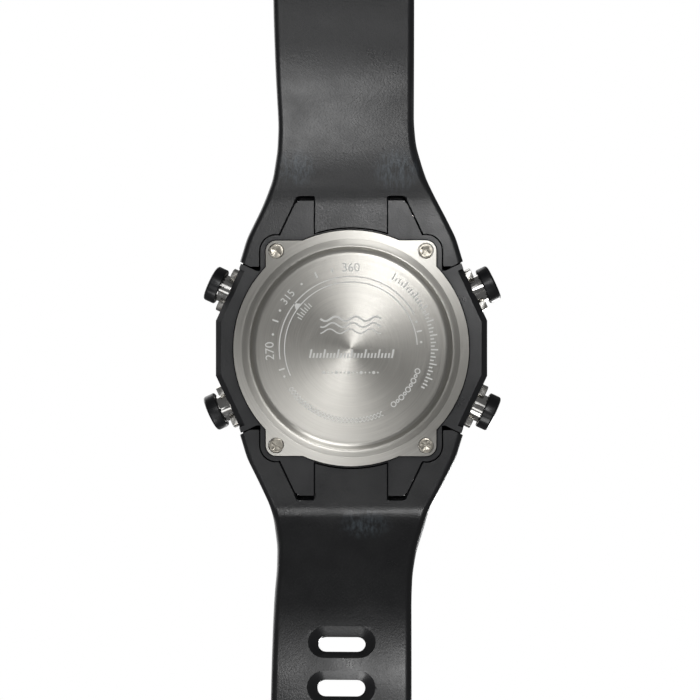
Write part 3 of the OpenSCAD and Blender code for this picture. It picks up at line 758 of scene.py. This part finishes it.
class Marks:
    """Flat raised marks collected into one mesh. place() maps [x, y] and a height to a point."""

    def __init__(self, name, place, thick):
        self.name, self.place, self.thick = name, place, thick
        self.verts, self.faces = [], []

    def outline(self, points):
        """A closed shape, one thickness high."""
        n, base = len(points), len(self.verts)
        self.verts += [self.place(x, y, 0.0) for x, y in points]
        self.verts += [self.place(x, y, self.thick) for x, y in points]
        self.faces += [[base + i for i in range(n)][::-1], [base + n + i for i in range(n)]]
        self.faces += [[base + i, base + (i + 1) % n, base + n + (i + 1) % n, base + n + i] for i in range(n)]

    def band(self, r, width, start, end, wave=0.0, period=1.0):
        """A line along an arc, straight or waving."""
        reach = abs(end - start)
        steps = int(reach * 8 / period) if wave else max(2, int(reach / 1.5))
        for i in range(steps):
            turns = [start + (end - start) * (i + k) / steps for k in (0, 1)]
            radii = [r + wave * math.sin(2 * math.pi * (t - start) / period) for t in turns]
            (a, b), (ra, rb) = np.radians(turns), radii
            half = width / 2
            self.outline([[(ra - half) * math.cos(a), (ra - half) * math.sin(a)],
                          [(ra + half) * math.cos(a), (ra + half) * math.sin(a)],
                          [(rb + half) * math.cos(b), (rb + half) * math.sin(b)],
                          [(rb - half) * math.cos(b), (rb - half) * math.sin(b)]])

    def tick(self, r, angle, length, width):
        """A short line along the radius."""
        a = math.radians(angle)
        out, side = (math.cos(a), math.sin(a)), (-math.sin(a), math.cos(a))
        u, v = length / 2, width / 2
        corners = ((r - u, -v), (r + u, -v), (r + u, v), (r - u, v))
        self.outline([[a * out[0] + b * side[0], a * out[1] + b * side[1]] for a, b in corners])

    def dot(self, x, y, r):
        self.outline(arc(x, y, r, 0, 340, 17))

    def ring(self, x, y, r, width):
        """A small circle drawn with a line."""
        inner, outer = (arc(x, y, radius, 0, 360, 20) for radius in (r - width, r))
        for (a, b), (c, d) in zip(zip(inner, inner[1:]), zip(outer, outer[1:])):
            self.outline([a, c, d, b])

    def stroke(self, points, width):
        """A line through points."""
        for (x0, y0), (x1, y1) in zip(points, points[1:]):
            length = math.hypot(x1 - x0, y1 - y0)
            nx, ny = -(y1 - y0) / length * width / 2, (x1 - x0) / length * width / 2
            self.outline([[x0 - nx, y0 - ny], [x1 - nx, y1 - ny], [x1 + nx, y1 + ny], [x0 + nx, y0 + ny]])

    def number(self, text, x, y, size, turn=0.0):
        """Digits in the built-in font, centred on a place and turned by an angle."""
        curve = bpy.data.curves.new("digits", "FONT")
        curve.body = text
        curve.align_x = curve.align_y = "CENTER"
        curve.size = size
        holder = bpy.data.objects.new("digits", curve)
        bpy.context.scene.collection.objects.link(holder)
        graph = bpy.context.evaluated_depsgraph_get()
        flat = bpy.data.meshes.new_from_object(holder.evaluated_get(graph))
        bpy.data.objects.remove(holder)
        c, s = math.cos(math.radians(turn)), math.sin(math.radians(turn))
        flat_points = [[x + v.co.x * c - v.co.y * s, y + v.co.x * s + v.co.y * c] for v in flat.vertices]
        base, n = len(self.verts), len(flat_points)
        self.verts += [self.place(px, py, self.thick) for px, py in flat_points]
        self.verts += [self.place(px, py, 0.0) for px, py in flat_points]
        border = {}
        for polygon in flat.polygons:
            ids = list(polygon.vertices)
            self.faces.append([base + i for i in ids])
            self.faces.append([base + n + i for i in ids[::-1]])
            for i, j in zip(ids, ids[1:] + ids[:1]):
                border[(i, j)] = border.get((i, j), 0) + 1
        for i, j in border:
            if (j, i) not in border:
                self.faces.append([base + i, base + n + i, base + n + j, base + j])

    def finish(self, look):
        """Makes the mesh and fixes it to the case."""
        obj = mesh_object(self.name, self.verts, self.faces, False)
        paint(obj, look.material)
        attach(obj, "case")


def at(r, angle):
    """The point at a radius and an angle in degrees."""
    turn = math.radians(angle)
    return [r * math.cos(turn), r * math.sin(turn)]


def back_marks():
    """Engraved scale of the case back. Its x runs as seen from the wrist, so it is the frame's -X."""
    face = low("case_back").z
    marks = Marks("back_engraving", lambda x, y, h: [-x, y, face + 0.01 - h], 0.022)
    marks.band(13.3, 0.2, 28, 189)
    marks.band(12.3, 0.2, 3, 204.5)
    # Compass side: pointer, degree numbers, bars and dots
    tip, wing = 12.75, 0.72
    out, side = at(1.0, 141.7), at(1.0, 231.7)
    marks.outline([[u * out[0] + v * side[0], u * out[1] + v * side[1]]
                   for u, v in ((tip + 0.75, 0.0), (tip - 0.35, wing), (tip - 0.35, -wing))])
    for text, r, angle, size in (("360", 14.9, 90, 2.3), ("315", 15.0, 141, 2.0), ("270", 15.0, 182, 2.3)):
        marks.number(text, *at(r, angle), size, angle - 90)
    for angle, r, length in ((103.4, 14.9, 0.7), (115.4, 15.0, 1.1), (160, 14.9, 1.2), (197, 13.4, 1.1),
                             (14, 13.06, 1.0)):
        marks.tick(r, angle, length, 0.3)
    for angle, r in ((127.5, 15.0), (152, 14.9), (170, 14.7), (203, 13.4), (22, 13.06), (5, 13.06)):
        marks.dot(*at(r, angle), 0.22)
    for i in range(7):
        marks.tick(11.0 + 0.25 * (i % 2), 133.5 + 2.7 * i, 0.9 + 0.5 * (i % 2), 0.2)
    # Graduated band, bubbles and a wave line
    for i, angle in enumerate(np.arange(59, -31, -2.5)):
        length = 1.35 if i % 4 == 0 else (0.95 if i % 4 == 2 else 0.7)
        marks.tick(15.5 - (1.35 - length) / 2, angle, length, 0.27)
    for i, angle in enumerate(np.arange(-19, -53, -4.2)):
        marks.ring(*at(13.05, angle), 0.55 if i % 2 == 0 else 0.36, 0.2)
    for width, wave in ((0.24, 0.42), (0.18, -0.42)):
        marks.band(13.4, width, 213, 296, wave, period=6.0)
    # Three rolling waves, a gauge strip and a row of dots in the middle
    for row in range(3):
        xs = np.linspace(-5.65, 5.65, 66)
        points = [[x, 4.3 + 1.15 * (1 - row) + 0.42 * math.sin(2 * math.pi * x / 3.77 + 0.9 * row)] for x in xs]
        marks.stroke(points, 0.38 - 0.07 * row)
    for i in range(25):
        x = -7.6 + 15.2 * i / 24
        height = 1.6 if i % 4 == 0 else 0.9
        marks.outline([[x - 0.17, -1.8], [x + 0.17, -1.8], [x + 0.17 + height * 0.2, -1.8 + height],
                       [x - 0.17 + height * 0.2, -1.8 + height]])
    for i in range(14):
        marks.dot(-5.0 + 10.0 * i / 13, -4.5, 0.3 if i % 3 == 0 else 0.17)
    marks.finish(ETCH)


# Middle of each segment of a digit, as shares of its width and height, and whether it stands upright
SEGMENTS = {"a": (0.5, 1.0, 0), "b": (1.0, 0.75, 1), "c": (1.0, 0.25, 1), "d": (0.5, 0.0, 0),
            "e": (0.0, 0.25, 1), "f": (0.0, 0.75, 1), "g": (0.5, 0.5, 0)}
# Segments that each digit shows
DIGITS = {"0": "abcdef", "1": "bc", "2": "abged", "3": "abgcd", "4": "fgbc", "5": "afgcd", "6": "afgedc",
          "7": "abc", "8": "abcdefg", "9": "abfgcd"}


def digit(marks, value, x, y, width, height, thick):
    """One seven-segment digit with its lower left corner at a place."""
    for key in DIGITS[value]:
        u, v, upright = SEGMENTS[key]
        cx, cy = x + u * width, y + v * height
        half = (height / 4 if upright else width / 2) - thick * 0.35
        t = thick / 2
        shape = [[-half, 0], [-half + t, t], [half - t, t], [half, 0], [half - t, -t], [-half + t, -t]]
        marks.outline([[cx + (b if upright else a), cy + (a if upright else b)] for a, b in shape])


def display_marks():
    """Numbers, bars and frame lines of the liquid crystal display."""
    face = high("lcd_glass").z
    marks = Marks("lcd_segments", lambda x, y, h: [x, y, face + 0.01 + h], 0.03)
    # Digits of each row and their places, then the row's height on the face and the size and line of its digits
    rows = (((("1", -10.6), ("8", -4.9), ("4", 2.6)), -2.6, (3.8, 7.4, 1.0)),
            ((("0", 8.1), ("7", 10.8)), -2.6, (1.7, 3.4, 0.45)),
            ((("0", -6.3), ("2", -3.6), ("3", 0.9), ("5", 3.6)), -9.4, (1.9, 3.8, 0.5)),
            ((("2", -2.6), ("1", -0.4), ("9", 3.2)), 7.3, (1.4, 2.9, 0.4)))
    for values, y, shape in rows:
        for value, x in values:
            digit(marks, value, x, y, *shape)
    for x, y, r in ((0.75, -2.6, 0.55), (-0.55, -8.5, 0.24), (-0.55, -6.7, 0.24), (1.9, 7.3, 0.2)):
        marks.dot(x, y, r)
    for y in (6.2, -4.2):
        marks.stroke([[-11.5, y], [11.5, y]], 0.18)
    for i in range(12):
        marks.tick(13.6, 60 + 60 * i / 11, 1.2, 0.9)
    marks.finish(INK)


def bezel_marks():
    """Degree numbers, filled black, on the slope of the bezel."""
    top = high("bezel_ring").z
    inner, outer = 19.9, 21.8
    fall = 0.9 / (outer - inner)

    def on_slope(x, y, h):
        return [x, y, top - fall * (math.hypot(x, y) - inner) + 0.005 + h]

    marks = Marks("bezel_numbers", on_slope, 0.02)
    for degrees in range(30, 360, 30):
        if degrees % 90:
            marks.number(str(degrees), *at(20.75, 90 - degrees), 1.35, -degrees)
    marks.finish(BLACK_FILL)


def flange_marks():
    """Minute dots printed on the ring under the glass."""
    def on_flange(x, y, h):
        return [x, y, 10.9 + (math.hypot(x, y) - 15.1) / 1.2 + 0.01 + h]

    marks = Marks("flange_scale", on_flange, 0.02)
    for i in range(60):
        marks.tick(15.7, 6 * i, 0.8 if i % 5 == 0 else 0.4, 0.3 if i % 5 == 0 else 0.14)
    marks.finish(PAINT)


back_marks()
display_marks()
bezel_marks()
flange_marks()


# ---------------------------------------------------------------- stage

FLOOR_GAP, FLOOR_HALF = 0.05, 3000


def floor_piece():
    """A wide pale floor under the object. Seen from below it isn't there."""
    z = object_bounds()[0].z / MM - FLOOR_GAP
    half = FLOOR_HALF
    corners = [[-half, -half, z], [half, -half, z], [half, half, z], [-half, half, z]]
    obj = mesh_object("floor", corners, [[0, 1, 2, 3]])
    look = Look("floor", (0.86, 0.86, 0.85), 0.7)
    tone = look.range(look.noise(0.01, 3.0), 0.3, 0.7, 0.0, 1.0)
    look.put(look.shader, "Base Color", look.mix(tone, (0.85, 0.85, 0.84), (0.88, 0.88, 0.87)))
    facing = look.add("ShaderNodeNewGeometry").outputs["Backfacing"]
    clear = look.add("ShaderNodeBsdfTransparent")
    mixed = look.add("ShaderNodeMixShader")
    look.put(mixed, 0, facing)
    look.put(mixed, 1, look.shader.outputs[0])
    look.put(mixed, 2, clear.outputs[0])
    look.tree.links.new(mixed.outputs[0], look.out.inputs[0])
    paint(obj, look.material)
    obj.visible_shadow = obj.visible_diffuse = obj.visible_glossy = obj.visible_transmission = False


def area_light(name, place, target, size, power):
    """A soft panel, in millimetres, that looks at a point."""
    data = bpy.data.lights.new(name, "AREA")
    data.shape = "RECTANGLE"
    data.size, data.size_y = (side * MM for side in size)
    data.energy = power
    obj = bpy.data.objects.new(name, data)
    bpy.context.scene.collection.objects.link(obj)
    obj.location = Vector(place) * MM
    direction = (Vector(target) - Vector(place)).normalized()
    obj.rotation_mode = "QUATERNION"
    obj.rotation_quaternion = direction.to_track_quat("-Z", "Y")


def far_light(name, direction, spread, strength):
    """A soft light far away in a direction, spread over so many degrees, so the floor stays even."""
    data = bpy.data.lights.new(name, "SUN")
    data.energy = strength
    data.angle = math.radians(spread)
    obj = bpy.data.objects.new(name, data)
    bpy.context.scene.collection.objects.link(obj)
    obj.rotation_mode = "QUATERNION"
    obj.rotation_quaternion = Vector(direction).to_track_quat("Z", "Y")


ROOM_LIGHT, BACKGROUND = 0.11, 1.0


def world_light():
    """White background for the camera and soft grey light for everything else."""
    world = bpy.data.worlds.new("studio")
    bpy.context.scene.world = world
    world.use_nodes = True
    tree = world.node_tree
    tree.nodes.clear()
    out = tree.nodes.new("ShaderNodeOutputWorld")
    mixed = tree.nodes.new("ShaderNodeMixShader")
    path = tree.nodes.new("ShaderNodeLightPath")
    shades = []
    for strength in (ROOM_LIGHT, BACKGROUND):
        shade = tree.nodes.new("ShaderNodeBackground")
        shade.inputs["Color"].default_value = (1, 1, 1, 1)
        shade.inputs["Strength"].default_value = strength
        shades.append(shade)
    tree.links.new(path.outputs["Is Camera Ray"], mixed.inputs[0])
    for key, shade in zip((1, 2), shades):
        tree.links.new(shade.outputs[0], mixed.inputs[key])
    tree.links.new(mixed.outputs[0], out.inputs[0])


def camera():
    """Under the object, looking up at the case back with 12 o'clock at the top."""
    # Distance from the object, and width of the view there
    distance, field = 300.0, 129.6
    data = bpy.data.cameras.new("camera")
    data.sensor_width = 36.0
    data.lens = data.sensor_width * distance / field
    data.clip_start, data.clip_end = 0.01, 20.0
    obj = bpy.data.objects.new("camera", data)
    bpy.context.scene.collection.objects.link(obj)
    eye = Vector((-10.0, 0.0, -distance))
    aim = Vector((0.15, -0.33, 0.0))
    forward = (aim - eye).normalized()
    right = forward.cross(Vector((0, 1, 0))).normalized()
    up = right.cross(forward)
    turn = Matrix((right, up, -forward)).transposed()
    obj.rotation_mode = "QUATERNION"
    obj.rotation_quaternion = turn.to_quaternion()
    obj.location = eye * MM
    bpy.context.scene.camera = obj


floor_piece()
world_light()
camera()
# Lights for the wrist side, which the camera looks up at; the image's left is +X and its bottom is -Y
area_light("back_key", (-24, 80, -297), (0, 0, 0), (60, 60), 0.168)
area_light("back_low", (93, -336, -200), (0, 40, -5), (200, 200), 0.53)
area_light("back_fill", (70, -170, -420), (0, 0, 0), (420, 100), 0.19)
area_light("back_top", (-60, 200, -380), (0, 0, 0), (420, 90), 0.10)
# Lights for the display side
far_light("front_key", (-0.5, -0.55, 1.0), 25, 1.9)
far_light("front_fill", (0.9, 0.5, 1.1), 60, 1.3)
bpy.context.scene.view_settings.view_transform = "Standard"
